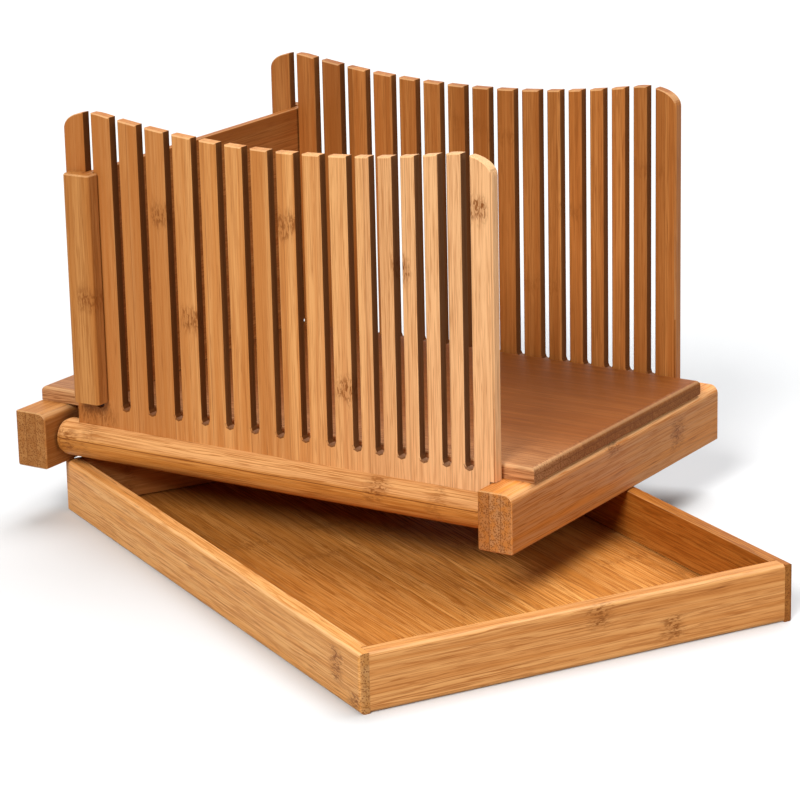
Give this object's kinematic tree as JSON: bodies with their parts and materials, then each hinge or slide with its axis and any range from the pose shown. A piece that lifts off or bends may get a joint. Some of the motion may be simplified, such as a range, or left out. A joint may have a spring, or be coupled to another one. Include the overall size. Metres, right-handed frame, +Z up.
{
  "type": "bread slicer guide",
  "caption": "Bamboo bread slicer guide: two slotted walls on dowels beside a cutting board on end rails, with a lift-out backstop, set across a crumb tray.",
  "frame": {"origin": "centre of the crumb tray's underside, on the table", "axes": "+Z up; +X along the dowels and the guide walls, from the backstop towards the open end; +Y from the front wall to the back wall"},
  "size_m": [0.3738, 0.3244, 0.1941],
  "materials": {
    "bamboo_tray": "satin oiled",
    "bamboo_tray_floor": "satin oiled",
    "bamboo_rail": "satin oiled",
    "bamboo_board": "satin oiled",
    "bamboo_dowel": "satin oiled",
    "bamboo_wall": "satin oiled",
    "bamboo_pin": "satin oiled",
    "bamboo_backstop": "satin oiled",
    "steel_screw": "zinc plated"
  },
  "bodies": {
    "tray": {"tray_floor": "bamboo_tray_floor", "tray_front_board": "bamboo_tray", "tray_back_board": "bamboo_tray", "tray_left_board": "bamboo_tray", "tray_right_board": "bamboo_tray"},
    "unit": {"left_rail": "bamboo_rail", "right_rail": "bamboo_rail", "cutting_board": "bamboo_board", "front_dowel": "bamboo_dowel", "back_dowel": "bamboo_dowel", "front_guide_wall": "bamboo_wall", "back_guide_wall": "bamboo_wall", "front_dowel_pins": "bamboo_pin", "back_dowel_pins": "bamboo_pin", "front_wall_screws": "steel_screw", "back_wall_screws": "steel_screw", "board_screws": "steel_screw"},
    "backstop": {"backstop_panel": "bamboo_backstop", "backstop_front_bar": "bamboo_backstop", "backstop_back_bar": "bamboo_backstop"}
  },
  "joints": [
    {"name": "unit_lift", "type": "slide", "parent": "tray", "child": "unit", "axis": [0, 0, 1], "range_m": [0, 0.12]},
    {"name": "backstop_lift", "type": "slide", "parent": "unit", "child": "backstop", "axis": [0, 0, 1], "range_m": [0, 0.135]}
  ]
}
